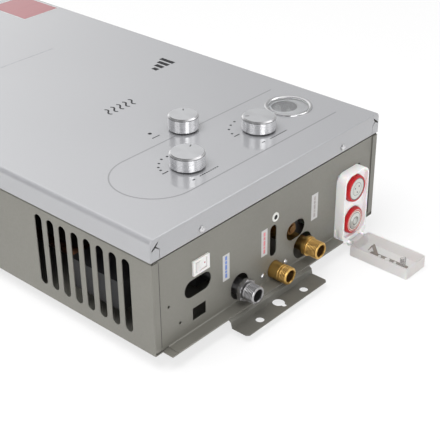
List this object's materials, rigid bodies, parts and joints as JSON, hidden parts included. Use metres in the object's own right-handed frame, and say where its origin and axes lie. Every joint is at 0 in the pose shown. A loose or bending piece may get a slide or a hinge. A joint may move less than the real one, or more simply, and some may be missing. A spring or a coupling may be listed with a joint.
{
  "type": "portable propane water heater",
  "caption": "Flat box-shaped gas water heater with control knobs, flame window, threaded pipe ends, wall brackets and a drop-down battery door.",
  "frame": {"origin": "point on the wall plane, on the line of the lower bracket's two round screw holes, under the middle of the cover", "axes": "+Z out of the front cover, +Y from the pipe end to the flue end, +X to the right as seen from the pipe end with the cover up"},
  "size_m": [0.39, 0.8169, 0.1784],
  "materials": {
    "cover_metal": "gloss",
    "panel_metal": "satin",
    "plated_steel": "bright plated",
    "polished_ring": "polished",
    "window_glass": "clear",
    "screen_steel": "dark heat-tinted",
    "turned_aluminium": "fine turned",
    "dark_plastic": "moulded",
    "white_plastic": "smooth",
    "door_plastic": "smooth",
    "cell_jacket": "printed jacket",
    "brass": "turned",
    "grommet_rubber": "smooth",
    "cast_aluminium": "cast",
    "copper": "drawn tube",
    "galvanised": "galvanised sheet",
    "ceramic": "glazed"
  },
  "bodies": {
    "heater": {"front_cover": "cover_metal", "left_side_panel": "panel_metal", "right_side_panel": "panel_metal", "back_panel": "panel_metal", "bottom_panel": "panel_metal", "top_panel": "panel_metal", "lower_wall_bracket": "panel_metal", "upper_wall_bracket": "panel_metal", "bracket_rivets": "plated_steel", "cover_screws": "plated_steel", "flue_collar": "galvanised", "window_bezel": "polished_ring", "window_glass": "window_glass", "window_cup": "polished_ring", "window_screen": "screen_steel", "switch_housing": "white_plastic", "battery_case": "door_plastic", "door_hinge_pin": "plated_steel", "case_coil_spring": "plated_steel", "case_contact_plate": "plated_steel", "gas_inlet_connector": "plated_steel", "gas_inlet_nut": "plated_steel", "hot_outlet_connector": "brass", "hot_outlet_flange": "brass", "outlet_flange_screws": "plated_steel", "cold_inlet_connector": "brass", "drain_plug": "brass", "panel_grommet": "grommet_rubber", "gas_valve": "cast_aluminium", "season_valve": "cast_aluminium", "solenoid_valve": "galvanised", "water_valve": "brass", "flow_microswitch": "dark_plastic", "gas_manifold": "cast_aluminium", "burner_strips": "galvanised", "burner_frame": "galvanised", "exchanger_shell": "copper", "exchanger_fins": "copper", "exchanger_tube": "copper", "cold_pipe": "copper", "hot_pipe": "copper", "flue_hood": "galvanised", "igniter_box": "dark_plastic", "burner_probes": "ceramic", "overheat_sensor": "ceramic"},
    "gas_control": {"gas_knob": "turned_aluminium", "gas_knob_core": "dark_plastic", "gas_spindle": "plated_steel"},
    "water_control": {"water_knob": "turned_aluminium", "water_knob_core": "dark_plastic", "water_spindle": "plated_steel"},
    "season_control": {"season_knob": "turned_aluminium", "season_knob_core": "dark_plastic", "season_spindle": "plated_steel"},
    "rocker": {"switch_rocker": "white_plastic"},
    "door": {"battery_door": "door_plastic", "door_contact_strip": "plated_steel", "door_coil_spring": "plated_steel"},
    "first_cell": {"upper_cell": "cell_jacket"},
    "second_cell": {"lower_cell": "cell_jacket"}
  },
  "joints": [
    {"name": "gas_knob_turn", "type": "hinge", "parent": "heater", "child": "gas_control", "pos_m": [-0.057, 0.11, 0.151], "axis": [0, 0, 1], "range_deg": [-60, 150]},
    {"name": "water_knob_turn", "type": "hinge", "parent": "heater", "child": "water_control", "pos_m": [0.064, 0.11, 0.151], "axis": [0, 0, 1], "range_deg": [-150, 60]},
    {"name": "season_knob_turn", "type": "hinge", "parent": "heater", "child": "season_control", "pos_m": [0.0075, 0.177, 0.151], "axis": [0, 0, 1], "range_deg": [-45, 135]},
    {"name": "rocker_tip", "type": "hinge", "parent": "heater", "child": "rocker", "pos_m": [-0.123, 0.0325, 0.0896], "axis": [0, 0, 1], "range_deg": [-20, 0]},
    {"name": "battery_door_swing", "type": "hinge", "parent": "heater", "child": "door", "pos_m": [0.139, 0.016, 0.0045], "axis": [1, 0, 0], "range_deg": [-90, 0]},
    {"name": "upper_cell_slide", "type": "slide", "parent": "heater", "child": "first_cell", "axis": [0, -1, 0], "range_m": [0, 0.07]},
    {"name": "lower_cell_slide", "type": "slide", "parent": "heater", "child": "second_cell", "axis": [0, -1, 0], "range_m": [0, 0.07]}
  ]
}
